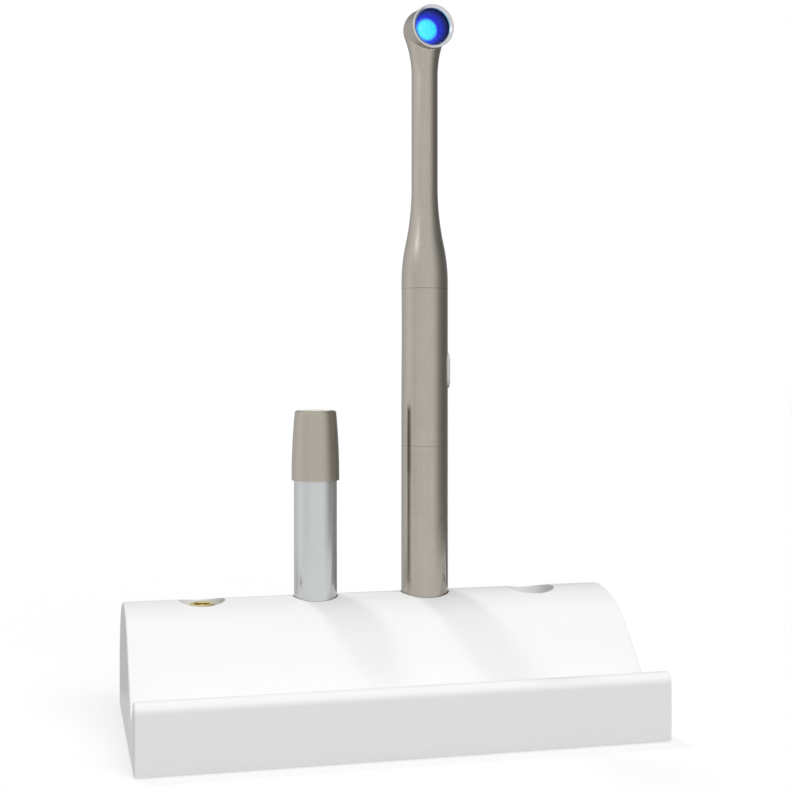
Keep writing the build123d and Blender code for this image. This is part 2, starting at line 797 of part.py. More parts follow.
def heat_sink():
    """Metal slug that fills the round back of the head."""
    slug = rod(head_bore - fit_gap, -head_radius, led_board_front - led_board_thickness)
    return forward * (slug & Sphere(head_bore - 2 * fit_gap))


def led_board():
    """Round board in front of the slug."""
    disc = rod(head_bore - led_board_margin, led_board_front - led_board_thickness, led_board_front)
    return forward * disc


def led_emitter():
    """Round light source on the board, slightly domed."""
    disc = rod(emitter_radius, led_board_front, led_board_front + emitter_thickness)
    return forward * fillet(disc.edges().group_by(Axis.Z)[-1], emitter_thickness / 2)


def reflector():
    """Conical cup around the light source, with a rim against the lens."""
    low, high = led_board_front, reflector_front
    front = lens_radius - reflector_wall
    inner = [(reflector_back_radius, low), (front, high)]
    outer = [(front + reflector_wall, high), (front + reflector_wall, high - reflector_wall),
             (reflector_back_radius + reflector_wall, low)]
    return forward * revolve(Plane.XZ * make_face(Polyline(*inner, *outer, close=True)), Axis.Z)


def lens():
    """Flat round window behind the bezel, with eased edges."""
    disc = rod(lens_radius, lens_front - lens_thickness, lens_front)
    return forward * chamfer(disc.edges(), lens_thickness / 6)


def bezel_ring():
    """Bright ring in the barrel: a flange on its rim, a flared mouth and a spigot round the lens."""
    outer = barrel_lip_bore - fit_gap
    flange = rod(bezel_radius, barrel_reach, bezel_front)
    ring = chamfer(flange.edges().group_by(Axis.Z)[-1], bezel_edge)
    ring += rod(outer, reflector_front + fit_gap, barrel_reach)
    low = mouth_low + bezel_land
    mouth = Polyline((0, low), (bezel_opening_radius, low), (bezel_mouth_radius, bezel_front),
                     (bezel_mouth_radius, bezel_front + overcut), (0, bezel_front + overcut), close=True)
    ring -= revolve(Plane.XZ * make_face(mouth), Axis.Z)
    ring -= rod(bezel_opening_radius, mouth_low - overcut, bezel_front)
    return forward * (ring - rod(outer - bezel_spigot_wall, reflector_front - overcut, mouth_low))


def lamp_leads():
    """Two insulated leads from the plug up the neck to the board of the light source."""
    y = -(led_board_front + lead_radius + fit_gap)
    return [Pos(x, y, 0) * rod(lead_radius, neck_seam_z, head_z - lead_end_drop)
            for x in (-lead_spread, lead_spread)]


pieces = {
    "base_shell": base_shell(),
    "base_cover": base_cover(),
    "rubber_feet": at_places(rubber_foot(), foot_places),
    "cover_screws": at_places(cover_screw(), screw_places),
    "ballast_plate": ballast_plate(),
    "charging_board": charging_board(),
    "board_parts": board_parts(),
    "power_inlet": power_inlet(),
}

# Battery sockets with their posts
sleeves, cores, pins = [], [], []
post = contact_post(post_root, socket_floor_height - post_root - board_high)
for number, x in enumerate(socket_x, 1):
    pieces[f"battery_socket_{number}"] = Pos(x, station_y, 0) * battery_socket()
    seat = Pos(x, station_y, socket_floor_height)
    sleeves.append(seat * post[0])
    cores.append(seat * post[1])
    pins.append(seat * post[2])
pieces["socket_sleeves"] = sleeves
pieces["socket_cores"] = cores
pieces["socket_pins"] = pins

# Handpiece wells; the docked handpiece has pushed down the plunger of the first
for number, (x, drop) in enumerate(zip(well_x, (plunger_travel + plunger_touch_gap, 0)), 1):
    place = Pos(x, station_y, 0)
    plate, contact_pins, spring = contact_plunger(drop)
    pieces[f"handpiece_well_{number}"] = place * handpiece_well()
    pieces[f"contact_plunger_{number}"] = place * plate
    pieces[f"plunger_pins_{number}"] = [place * pin for pin in contact_pins]
    pieces[f"plunger_spring_{number}"] = place * spring

# Main pack, tail down in the first well, and spare pack, contacts down in the second socket
pack_places = {
    "main_pack": Pos(well_x[0], station_y, docked_contact_z) * Rot(180, 0, 0),
    "spare_pack": Pos(socket_x[1], station_y, socket_floor_height),
}
for pack, place in pack_places.items():
    for name, piece in battery_pack().items():
        group = piece if isinstance(piece, list) else [piece]
        pieces[f"{pack}_{name}"] = [place * item for item in group]

# Handpiece body over the main pack
body_place = Pos(well_x[0], station_y, 0)
post = contact_post(coupler_high - coupler_low, 0)
post_place = body_place * Pos(0, 0, coupler_low) * Rot(180, 0, 0)
body_pieces = {
    "lower_tube": body_tube(lower_bore, tube_low, seam_z),
    "upper_tube": upper_tube(),
    "tube_coupler": tube_coupler(),
    "driver_board": driver_board(),
    "driver_parts": driver_parts(),
    "button_switch": button_switch(),
    "button_cap": button_cap(),
    "swivel_collar": swivel_collar(),
    "swivel_jack": swivel_jack(),
}
for name, piece in body_pieces.items():
    group = piece if isinstance(piece, list) else [piece]
    pieces[name] = [body_place * item for item in group]
for name, piece in zip(("post_sleeve", "post_core", "post_pin"), post):
    pieces[name] = post_place * piece

# Neck and head, turned a little from straight ahead
head_place = body_place * Rot(0, 0, head_turn)
head_pieces = {
    "swivel_spigot": swivel_spigot(),
    "retaining_ring": retaining_ring(),
    "swivel_seal": swivel_seal(),
    "swivel_plug": swivel_plug(),
    "neck_shell": neck_shell(),
    "heat_sink": heat_sink(),
    "led_board": led_board(),
    "led_emitter": led_emitter(),
    "reflector": reflector(),
    "lens": lens(),
    "bezel_ring": bezel_ring(),
    "lamp_leads": lamp_leads(),
}
for name, piece in head_pieces.items():
    group = piece if isinstance(piece, list) else [piece]
    pieces[name] = [head_place * item for item in group]

os.makedirs("parts", exist_ok=True)
for name, piece in pieces.items():
    group = piece if isinstance(piece, list) else [piece]
    solids = [solid for item in group for solid in item.solids()]
    model = solids[0] if len(solids) == 1 else Compound(children=solids)
    export_step(model, f"parts/{name}.step")
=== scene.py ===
import json
import math

import bmesh
import bpy
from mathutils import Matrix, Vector


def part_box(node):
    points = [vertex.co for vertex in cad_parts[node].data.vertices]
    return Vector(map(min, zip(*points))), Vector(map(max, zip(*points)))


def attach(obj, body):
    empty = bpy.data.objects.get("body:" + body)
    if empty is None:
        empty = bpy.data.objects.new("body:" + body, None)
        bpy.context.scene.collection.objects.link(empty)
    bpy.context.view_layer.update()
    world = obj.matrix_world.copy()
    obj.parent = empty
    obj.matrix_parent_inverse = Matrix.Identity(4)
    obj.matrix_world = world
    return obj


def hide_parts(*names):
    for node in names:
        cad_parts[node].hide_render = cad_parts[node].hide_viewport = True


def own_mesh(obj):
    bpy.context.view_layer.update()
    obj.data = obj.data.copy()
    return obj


# Dental curing light in its charging base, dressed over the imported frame. Metres, +Z up, -Y is the front.

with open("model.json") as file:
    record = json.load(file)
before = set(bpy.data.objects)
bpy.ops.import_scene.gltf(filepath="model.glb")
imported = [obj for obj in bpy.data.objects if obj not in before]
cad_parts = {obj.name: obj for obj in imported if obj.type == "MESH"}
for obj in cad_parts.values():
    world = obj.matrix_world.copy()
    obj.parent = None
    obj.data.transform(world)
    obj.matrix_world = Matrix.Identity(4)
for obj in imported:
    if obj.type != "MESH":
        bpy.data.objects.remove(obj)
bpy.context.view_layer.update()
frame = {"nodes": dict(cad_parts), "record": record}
nodes = frame["nodes"]

MM = 0.001
UP = Vector((0, 0, 1))

# Camera: level, in front and a little to the left
CAMERA_PLACE = Vector((-0.1065, -0.4605, 0.1257))
CAMERA_YAW = math.radians(-13.548)
CAMERA_LENS = 64.96
CAMERA_SENSOR = 36.0
CAMERA_SHIFT = -0.0669

# Studio light: a fairly small lamp high behind the base, which throws the shadows on its slope, and a broad
# one in front, each as where it stands, its strength and its spread
KEY_FROM = Vector((-0.18, 0.36, 0.93))
KEY_STRENGTH = 0.72
KEY_SPREAD = math.radians(6)
FILL_FROM = Vector((0.20, -0.71, 0.68))
FILL_STRENGTH = 1.985
FILL_SPREAD = math.radians(45)
LAMPS = {
    "key": (KEY_FROM, KEY_STRENGTH, KEY_SPREAD),
    "fill": (FILL_FROM, FILL_STRENGTH, FILL_SPREAD),
}

# Light from all around, and the share of it that is missing straight to the left and right
SURROUND = 0.62
SURROUND_SIDES = 0.62

# The floor, as white as the background where it is seen. Its tone is what it throws back on the object, and
# its shadow is the share of the object's shadow that shows on it
BACKGROUND = 1.0
FLOOR_RADIUS = 4.0
FLOOR_EDGES = 96
FLOOR_TONE = 0.37
FLOOR_SHADOW = 0.35

# Studio walls, seen in reflections only: a tone for each direction round the handpiece, in degrees
# to the right of the camera
WALL_RADIUS = 0.36
WALL_HEIGHT = 0.62
WALL_FOOT = 0.0005
WALL_STEPS = 120
WALL_ROWS = 31
WALL_TONES = (
    (-180, 0.32), (-160, 0.32), (-137, 0.68), (-106, 0.90), (-84, 1.05), (-49, 0.88), (-18, 0.97), (28, 0.98),
    (43, 0.94), (59, 0.72), (77, 0.40), (96, 0.25), (122, 0.20), (150, 0.28), (180, 0.32),
)

# Soft patches on the wall: direction, height, half width in degrees, half height and added tone. The
# taper of the neck reflects the first, the flat tops of the caps the second
WALL_PATCHES = (
    (-51, 0.370, 15, 0.070, 1.35),
    (-169, 0.135, 14, 0.030, 1.10),
)

# Grey strip on the floor beside and behind the base, seen in reflections only: its first and last direction,
# its inner and outer radius, and its tones before and after a soft change
STRIP_TURNS = (130, 266)
STRIP_RADII = (0.113, 0.36)
STRIP_STEPS = 34
STRIP_TONES = (0.20, 0.66)
STRIP_CHANGE = (195, 215)

# Ring round the lens, as radius and reach forward from the axis of the neck, in millimetres
RING_PROFILE = (
    (6.20, 7.86), (6.24, 7.93), (6.88, 8.55), (6.98, 8.60), (7.28, 8.60), (7.38, 8.56), (7.42, 8.46),
    (7.42, 8.20), (6.86, 8.20), (6.86, 5.90), (6.38, 5.90), (6.38, 7.17),
)
RING_STEPS = 128
RING_SHARP = math.radians(50)

# Where the handpiece stands and where its head looks, from the frame
tube_low, tube_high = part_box("upper_tube")
lens_low, lens_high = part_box("lens")
emitter_low, emitter_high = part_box("led_emitter")
AXIS = (tube_low + tube_high) / 2
HEAD = Vector((AXIS.x, AXIS.y, (lens_low.z + lens_high.z) / 2))
FORWARD = ((lens_low + lens_high) / 2 - HEAD).normalized()
SIDE = UP.cross(FORWARD)

# The lit source: its radius, the widths of its blue edge and of the glow painted round it on the board, and
# how far forward it and the mouth of its cup lie
EMITTER_RADIUS = (emitter_high.z - emitter_low.z) / 2
EMITTER_EDGE = 0.9 * MM
EMITTER_GLOW = 0.6 * MM
EMITTER_REACH = ((emitter_low + emitter_high) / 2 - HEAD).dot(FORWARD)
MOUTH_REACH = ((lens_low + lens_high) / 2 - HEAD).dot(FORWARD)

# Tints, as a factor on a grey tone
NEUTRAL = (1.0, 1.0, 1.0)
WHITE = (1.0, 1.0, 1.005)
TAUPE = (1.0, 0.925, 0.800)
SILVER = (0.985, 1.0, 1.01)
GOLD = (1.0, 0.86, 0.36)
STEEL = (1.0, 1.0, 1.01)
BRIGHT_STEEL = (0.97, 0.98, 1.03)
BROWN = (1.0, 0.70, 0.26)

# The range that most of a noise lies in, the one for the sum of two noises, and the whole range of a factor
NOISE_MIDDLE = (0.3, 0.7)
TWO_NOISES_MIDDLE = (0.7, 1.3)
FULL = (0.0, 1.0)

# Sockets of a Mix node in its colour mode
MIX_FACTOR, MIX_FIRST, MIX_SECOND = 0, 6, 7
MIX_RESULT = 2

# Scales of noise drawn out into lines along Z
BRUSHED = (1500, 1500, 14)
DRAWN = (2600, 2600, 22)
WRINKLED = (500, 500, 90)

# How much more wear changes the gloss of a lacquer than its tone, and how deep its flakes are by its ripple
WEAR_ON_GLOSS = 4
FLAKE_RELIEF = 0.4

# Glow of the lit source at the left and right of its face, in its pale and its deep patches, and at its edge,
# then the painted glow of its light on the board beside it and the bottom of the cup, and the painted shade,
# nearly black, at the cup's mouth
FACE_PALE = ((0.16, 1.0, 0.97, 1), (0.035, 0.92, 0.90, 1))
FACE_DEEP = ((0.04, 0.72, 0.92, 1), (0.02, 0.54, 0.93, 1))
FACE_EDGE = (0.05, 0.22, 0.92, 1)
BOARD_PAINTED_GLOW = (0.045, 0.14, 0.86, 1)
CUP_PAINTED_GLOW = (0.012, 0.022, 0.60, 1)
MOUTH_PAINTED_SHADE = (0.001, 0.002, 0.012, 1)


class Finish:
    """A procedural material: one Principled surface, with short calls for the nodes that feed it."""

    def __init__(self, name, **sockets):
        self.material = bpy.data.materials.new(name)
        self.material.use_nodes = True
        self.tree = self.material.node_tree
        self.tree.nodes.clear()
        self.surface = self.tree.nodes.new("ShaderNodeBsdfPrincipled")
        output = self.tree.nodes.new("ShaderNodeOutputMaterial")
        self.tree.links.new(self.surface.outputs["BSDF"], output.inputs["Surface"])
        self.place = self.tree.nodes.new("ShaderNodeTexCoord").outputs["Object"]
        for socket, value in sockets.items():
            self.surface.inputs[socket.replace("_", " ")].default_value = value

    def add(self, kind, inputs=(), **settings):
        """A node with its settings, and each input linked to a socket or set to a value."""
        node = self.tree.nodes.new(kind)
        for name, value in settings.items():
            setattr(node, name, value)
        for socket, value in dict(inputs).items():
            if isinstance(value, bpy.types.NodeSocket):
                self.tree.links.new(value, node.inputs[socket])
            else:
                node.inputs[socket].default_value = value
        return node

    def drawn_out(self, scale, detail):
        """Noise with another scale along each axis."""
        stretched = self.add("ShaderNodeMapping", {"Vector": self.place, "Scale": scale}).outputs["Vector"]
        return self.noise(1.0, detail, stretched)

    def noise(self, size, detail=2.0, place=None):
        """Cloudy variation with features of about that size in metres."""
        inputs = {"Vector": place or self.place, "Scale": 1 / size, "Detail": detail}
        return self.add("ShaderNodeTexNoise", inputs).outputs["Fac"]

    def flakes(self, size):
        """Small cells with a random value each."""
        inputs = {"Vector": self.place, "Scale": 1 / size}
        cells = self.add("ShaderNodeTexVoronoi", inputs).outputs["Color"]
        return self.add("ShaderNodeSeparateColor", {"Color": cells}).outputs["Red"]

    def bands(self, size, direction):
        """Fine turned or ground lines across one axis."""
        inputs = {"Vector": self.place, "Scale": 1 / size, "Distortion": 1.5, "Detail": 2.0}
        return self.add("ShaderNodeTexWave", inputs, bands_direction=direction).outputs["Fac"]

    def spread(self, factor, low, high, source=NOISE_MIDDLE, **settings):
        """A range of a factor, as a rule the middle of a noise, spread over two values."""
        inputs = {"Value": factor, "From Min": source[0], "From Max": source[1],
                  "To Min": low, "To Max": high}
        return self.add("ShaderNodeMapRange", inputs, **settings).outputs["Result"]

    def along(self, direction):
        """How far a point lies along a direction."""
        inputs = {0: self.place, 1: tuple(direction)}
        return self.add("ShaderNodeVectorMath", inputs, operation="DOT_PRODUCT").outputs["Value"]

    def off_axis(self, low, high):
        """How far a point lies from the axis of the light, from 0 at one radius to 1 at another."""
        arm = self.add("ShaderNodeVectorMath", {0: self.place, 1: tuple(HEAD)}, operation="SUBTRACT")
        across = self.add("ShaderNodeVectorMath", {0: arm.outputs["Vector"], 1: tuple(FORWARD)},
                          operation="CROSS_PRODUCT")
        length = self.add("ShaderNodeVectorMath", {0: across.outputs["Vector"]}, operation="LENGTH")
        return self.spread(length.outputs["Value"], *FULL, source=(low, high),
                           interpolation_type="SMOOTHSTEP")

    def blend(self, factor, first, second, blend_type="MIX"):
        """A mix of two colours, or of what feeds them, by a factor."""
        inputs = {MIX_FACTOR: factor, MIX_FIRST: first, MIX_SECOND: second}
        return self.add("ShaderNodeMix", inputs, data_type="RGBA", blend_type=blend_type).outputs[MIX_RESULT]

    def tones(self, factor, tone, tint, share):
        """A colour that varies by a share of its tone both ways."""
        return self.blend(factor, shade(tone * (1 - share), tint), shade(tone * (1 + share), tint))

    def gloss(self, factor, rough, share):
        """A roughness that varies by a share both ways."""
        self.roughness(self.spread(factor, rough * (1 - share), rough * (1 + share)))

    def colour(self, source):
        self.tree.links.new(source, self.surface.inputs["Base Color"])

    def roughness(self, source):
        self.tree.links.new(source, self.surface.inputs["Roughness"])

    def glow(self, source):
        self.tree.links.new(source, self.surface.inputs["Emission Color"])

    def bump(self, *layers):
        """Relief from pairs of a height factor and a depth in metres."""
        normal = None
        for height, depth in layers:
            inputs = {"Height": height, "Distance": depth}
            if normal:
                inputs["Normal"] = normal
            normal = self.add("ShaderNodeBump", inputs).outputs["Normal"]
        self.tree.links.new(normal, self.surface.inputs["Normal"])


def shade(value, tint=NEUTRAL):
    """A colour from a grey value and a tint."""
    return (value * tint[0], value * tint[1], value * tint[2], 1.0)


def moulded(name, tone, tint, rough, grain=0.4 * MM, depth=0.001 * MM):
    """Moulded plastic: faint clouds of tone and gloss, and a fine moulded grain."""
    finish = Finish(name, IOR=1.49)
    clouds = finish.noise(30 * MM, detail=1.0)
    finish.colour(finish.tones(clouds, tone, tint, share=0.007))
    finish.gloss(clouds, rough, share=0.08)
    finish.bump((finish.noise(grain), depth))
    return finish.material


def lacquered(name, tone, tint, rough, flake=0.06, ripple=0.001 * MM, wear=0.035, **sockets):
    """Metal under a lacquer with fine flakes, with faint long streaks, a slight ripple and rubbed patches."""
    finish = Finish(name, Metallic=1.0, **sockets)
    cells = finish.flakes(0.16 * MM)
    flakes = finish.tones(cells, tone, tint, share=flake)
    patches = {0: finish.noise(9 * MM, detail=4.0), 1: finish.drawn_out(BRUSHED, detail=3.0)}
    rubbed = finish.add("ShaderNodeMath", patches, operation="ADD").outputs[0]
    worn = finish.tones(finish.spread(rubbed, *FULL, source=TWO_NOISES_MIDDLE), 1.0, NEUTRAL, share=wear)
    finish.colour(finish.blend(1.0, flakes, worn, blend_type="MULTIPLY"))
    finish.gloss(finish.noise(4 * MM), rough, share=WEAR_ON_GLOSS * wear)
    finish.bump((finish.noise(1.1 * MM), ripple), (cells, ripple * FLAKE_RELIEF))
    return finish.material


def turned_metal(name, tone, tint, rough, direction="Z", line=0.12 * MM, depth=0.002 * MM):
    """Machined metal with fine lines round it."""
    finish = Finish(name, Metallic=1.0)
    lines = finish.bands(line, direction)
    finish.colour(finish.blend(lines, shade(tone * 0.94, tint), shade(tone * 1.04, tint)))
    finish.gloss(finish.noise(3 * MM, detail=3.0), rough, share=0.2)
    finish.bump((lines, depth))
    return finish.material


def drawn_can(name, tone, tint, rough):
    """Pearl lacquer on a drawn can, with faint long lines down it."""
    finish = Finish(name, Metallic=0.85, Coat_Weight=0.5, Coat_Roughness=0.06)
    long_lines = finish.drawn_out(DRAWN, detail=4.0)
    pearl = finish.tones(finish.flakes(0.12 * MM), tone, tint, share=0.03)
    finish.colour(finish.blend(long_lines, pearl, shade(tone, tint)))
    finish.gloss(long_lines, rough, share=0.15)
    finish.bump((long_lines, 0.0015 * MM))
    return finish.material


def circuit_board(name):
    """Green laminate: lacquer over a weave, with paler tracks and a few plated pads."""
    finish = Finish(name, Roughness=0.35, Coat_Weight=0.4, Coat_Roughness=0.15)
    tracks = finish.add("ShaderNodeTexBrick", {
        "Vector": finish.place, "Scale": 260.0, "Mortar Size": 0.05, "Brick Width": 0.9, "Row Height": 0.35,
        "Color1": (0.010, 0.075, 0.030, 1), "Color2": (0.014, 0.10, 0.040, 1),
        "Mortar": (0.05, 0.21, 0.09, 1),
    })
    few_cells = finish.spread(finish.flakes(2.1 * MM), -6.0, 1.2)
    pads = finish.add("ShaderNodeClamp", {"Value": few_cells}).outputs["Result"]
    plated = (0.46, 0.36, 0.16, 1)
    finish.colour(finish.blend(pads, tracks.outputs["Color"], plated))
    finish.bump((tracks.outputs["Fac"], 0.03 * MM), (finish.noise(0.4 * MM), 0.006 * MM))
    return finish.material


def component_black(name):
    """Moulded black component bodies with a dusty top grain."""
    finish = Finish(name)
    finish.colour(finish.blend(finish.noise(1.2 * MM, detail=4.0), shade(0.018), shade(0.045)))
    finish.roughness(finish.spread(finish.noise(0.7 * MM), 0.42, 0.62))
    finish.bump((finish.noise(0.2 * MM, detail=3.0), 0.01 * MM))
    return finish.material


def rubber(name, tone):
    """Soft rubber with a matt skin and light scuffs."""
    finish = Finish(name, IOR=1.5, Sheen_Weight=0.15, Sheen_Roughness=0.5)
    scuffs = finish.noise(3 * MM, detail=6.0)
    finish.colour(finish.blend(scuffs, shade(tone * 0.8), shade(tone * 1.3)))
    finish.roughness(finish.spread(scuffs, 0.62, 0.85))
    finish.bump((finish.noise(0.3 * MM), 0.02 * MM))
    return finish.material


def shrink_sleeve(name):
    """Thin glossy blue sleeve with slight wrinkles."""
    finish = Finish(name, Coat_Weight=0.3, Coat_Roughness=0.1)
    wrinkles = finish.drawn_out(WRINKLED, detail=3.0)
    finish.colour(finish.blend(wrinkles, (0.025, 0.075, 0.21, 1), (0.035, 0.10, 0.27, 1)))
    finish.roughness(finish.spread(wrinkles, 0.22, 0.34))
    finish.bump((wrinkles, 0.02 * MM))
    return finish.material


def clear_lens(name):
    """Clear glass with the faintest haze."""
    finish = Finish(name, Transmission_Weight=1.0, IOR=1.2, Specular_IOR_Level=0.3,
                    Base_Color=(0.92, 0.96, 1.0, 1))
    finish.roughness(finish.spread(finish.noise(2 * MM, detail=4.0), 0.0, 0.03))
    return finish.material


def lit_finish(name, **sockets):
    """A matt surface that glows: the lit source itself, or painted light on the board and cup round it."""
    return Finish(name, Roughness=0.5, Specular_IOR_Level=0.05, Emission_Strength=1.0, **sockets)


def lamp_disc(name):
    """Lit source: mottled cyan, paler at its left, going over into blue at its edge."""
    finish = lit_finish(name, Base_Color=(0.01, 0.12, 0.2, 1))
    mottle = finish.spread(finish.noise(0.9 * MM, detail=4.0), *FULL)
    middle = HEAD.dot(SIDE)
    across = (middle - EMITTER_RADIUS, middle + EMITTER_RADIUS)
    right = finish.spread(finish.along(SIDE), *FULL, source=across)
    face = finish.blend(mottle, finish.blend(right, *FACE_DEEP), finish.blend(right, *FACE_PALE))
    edge = finish.off_axis(EMITTER_RADIUS - EMITTER_EDGE, EMITTER_RADIUS)
    finish.glow(finish.blend(edge, face, FACE_EDGE))
    return finish.material


def board_with_painted_glow(name):
    """Board round the lit source, with the source's blue light painted on it as a glow, strongest at the
    source's edge.
    """
    finish = lit_finish(name)
    finish.colour(finish.blend(finish.noise(0.8 * MM), (0.01, 0.02, 0.10, 1), (0.01, 0.03, 0.13, 1)))
    away = finish.off_axis(EMITTER_RADIUS, EMITTER_RADIUS + EMITTER_GLOW)
    # Painted glow: the source's light painted on the board, going over into the cup's painted glow away from
    # its edge
    finish.glow(finish.blend(away, BOARD_PAINTED_GLOW, CUP_PAINTED_GLOW))
    return finish.material


def cup_with_painted_light(name):
    """Dark navy cup with painted light: a blue glow at its bottom that goes over into painted shade, nearly
    black, at its mouth.
    """
    finish = lit_finish(name)
    finish.colour(finish.blend(finish.noise(1 * MM), (0.003, 0.005, 0.035, 1), (0.004, 0.007, 0.045, 1)))
    start = HEAD.dot(FORWARD)
    depth = finish.spread(finish.along(FORWARD), *FULL, source=(start + EMITTER_REACH, start + MOUTH_REACH),
                          interpolation_type="SMOOTHSTEP")
    # Painted light and shade: blue glow at the bottom of the cup, painted shade nearly black towards its
    # mouth
    finish.glow(finish.blend(depth, CUP_PAINTED_GLOW, MOUTH_PAINTED_SHADE))
    return finish.material


# One finish for each material slot of the frame
finishes = {
    "base_plastic": moulded("white_shell", tone=0.80, tint=WHITE, rough=0.30),
    "cup_plastic": moulded("white_cups", tone=0.90, tint=WHITE, rough=0.38),
    "cover_plastic": moulded("grey_cover", tone=0.46, tint=WHITE, rough=0.48,
                             grain=0.8 * MM, depth=0.03 * MM),
    "foot_rubber": rubber("foot_rubber", tone=0.035),
    "screw_steel": turned_metal("plated_steel", tone=0.55, tint=STEEL, rough=0.30),
    "plate_steel": turned_metal("rolled_steel", tone=0.36, tint=STEEL, rough=0.42,
                                direction="X", line=0.6 * MM),
    "circuit_board": circuit_board("green_board"),
    "chip_black": component_black("components"),
    "inlet_black": moulded("black_inlet", tone=0.022, tint=WHITE, rough=0.42),
    "contact_gold": turned_metal("gold_contacts", tone=0.82, tint=GOLD, rough=0.20, line=0.3 * MM),
    "insulator_brown": moulded("brown_insulator", tone=0.13, tint=BROWN, rough=0.45),
    "insulator_black": moulded("black_insulator", tone=0.03, tint=WHITE, rough=0.45),
    "can_steel": drawn_can("pearl_can", tone=0.58, tint=SILVER, rough=0.17),
    "cap_taupe": lacquered("taupe_cap", tone=0.43, tint=TAUPE, rough=0.28, flake=0.02, ripple=0.0002 * MM,
                           wear=0.015, Coat_Weight=0.1, Coat_Roughness=0.15),
    "cell_sleeve": shrink_sleeve("blue_sleeve"),
    "body_taupe": lacquered("taupe_body", tone=0.43, tint=TAUPE, rough=0.19,
                            Coat_Weight=0.25, Coat_Roughness=0.08),
    "inner_aluminium": turned_metal("turned_aluminium", tone=0.68, tint=STEEL, rough=0.28),
    "button_grey": moulded("grey_key", tone=0.56, tint=WHITE, rough=0.40, grain=0.3 * MM, depth=0.012 * MM),
    # The board and the cup round the lit source carry painted glow, and the cup painted shade at its mouth
    "led_board_navy": board_with_painted_glow("board_painted_glow"),
    "led_blue": lamp_disc("lit_source"),
    "reflector_blue": cup_with_painted_light("cup_painted_light"),
    "lens_glass": clear_lens("clear_lens"),
    "bezel_steel": turned_metal("polished_ring", tone=0.66, tint=BRIGHT_STEEL, rough=0.16, direction="Y"),
    "lead_insulation": rubber("lead_insulation", tone=0.09),
}


def dress_frame():
    """Each solid of the frame in the finish of its slot."""
    for subpart in frame["record"]["subparts"]:
        for material_slot in nodes[subpart["node"]].material_slots:
            material_slot.material = finishes[subpart["material_slot"]]


def add_object(name, data):
    """A new object in the scene."""
    made = bpy.data.objects.new(name, data)
    bpy.context.scene.collection.objects.link(made)
    return made


def node_material(name):
    """A material of the stage, with an empty node tree."""
    material = bpy.data.materials.new(name)
    material.use_nodes = True
    material.node_tree.nodes.clear()
    return material


def seen_directly(tree):
    """1 for camera, glossy and transmission rays, 0 for the rest."""
    path = tree.nodes.new("ShaderNodeLightPath")
    total = path.outputs["Is Camera Ray"]
    for kind in ("Is Glossy Ray", "Is Transmission Ray"):
        most = tree.nodes.new("ShaderNodeMath")
        most.operation = "MAXIMUM"
        tree.links.new(total, most.inputs[0])
        tree.links.new(path.outputs[kind], most.inputs[1])
        total = most.outputs[0]
    return total


def make_camera():
    """The photograph's view."""
    camera = bpy.data.cameras.new("camera")
    camera.lens = CAMERA_LENS
    camera.sensor_width = CAMERA_SENSOR
    camera.shift_y = CAMERA_SHIFT
    made = add_object("camera", camera)
    made.location = CAMERA_PLACE
    made.rotation_euler = (math.radians(90), 0, CAMERA_YAW)
    bpy.context.scene.camera = made


def make_world():
    """White where it is seen, and a plain pale light, weaker from the sides, on everything else."""
    world = bpy.data.worlds.new("studio")
    world.use_nodes = True
    tree = world.node_tree
    tree.nodes.clear()
    backdrop = tree.nodes.new("ShaderNodeBackground")
    backdrop.inputs["Strength"].default_value = BACKGROUND
    backdrop.inputs["Color"].default_value = shade(1.0)
    light = tree.nodes.new("ShaderNodeBackground")
    light.inputs["Color"].default_value = shade(1.0)
    direction = tree.nodes.new("ShaderNodeTexCoord")
    parts = tree.nodes.new("ShaderNodeSeparateXYZ")
    sideways = tree.nodes.new("ShaderNodeMath")
    sideways.operation = "ABSOLUTE"
    level = tree.nodes.new("ShaderNodeMapRange")
    level.inputs["To Min"].default_value = SURROUND
    level.inputs["To Max"].default_value = SURROUND * (1 - SURROUND_SIDES)
    mix = tree.nodes.new("ShaderNodeMixShader")
    output = tree.nodes.new("ShaderNodeOutputWorld")
    tree.links.new(direction.outputs["Generated"], parts.inputs[0])
    tree.links.new(parts.outputs["X"], sideways.inputs[0])
    tree.links.new(sideways.outputs[0], level.inputs["Value"])
    tree.links.new(level.outputs["Result"], light.inputs["Strength"])
    tree.links.new(seen_directly(tree), mix.inputs[0])
    tree.links.new(light.outputs[0], mix.inputs[1])
    tree.links.new(backdrop.outputs[0], mix.inputs[2])
    tree.links.new(mix.outputs[0], output.inputs["Surface"])
    bpy.context.scene.world = world


def make_lamps():
    """Far lamps that light surfaces but aren't mirrored in them."""
    for name, (direction, strength, spread) in LAMPS.items():
        lamp = bpy.data.lights.new(name, "SUN")
        lamp.energy = strength
        lamp.angle = spread
        made = add_object(name, lamp)
        made.rotation_mode = "QUATERNION"
        made.rotation_quaternion = direction.to_track_quat("Z", "Y")
        made.visible_glossy = False


def open_floor_tone():
    """Tone at which the open floor, lit by the world and both lamps, is as white as the background."""
    mean_sideways = 4 / (3 * math.pi)  # of a direction over the sky, weighted as a level surface sees it
    light = SURROUND * (1 - SURROUND_SIDES * mean_sideways)
    for direction, strength, spread in LAMPS.values():
        light += strength * direction.normalized().z / math.pi
    return min(1.0, BACKGROUND / light)


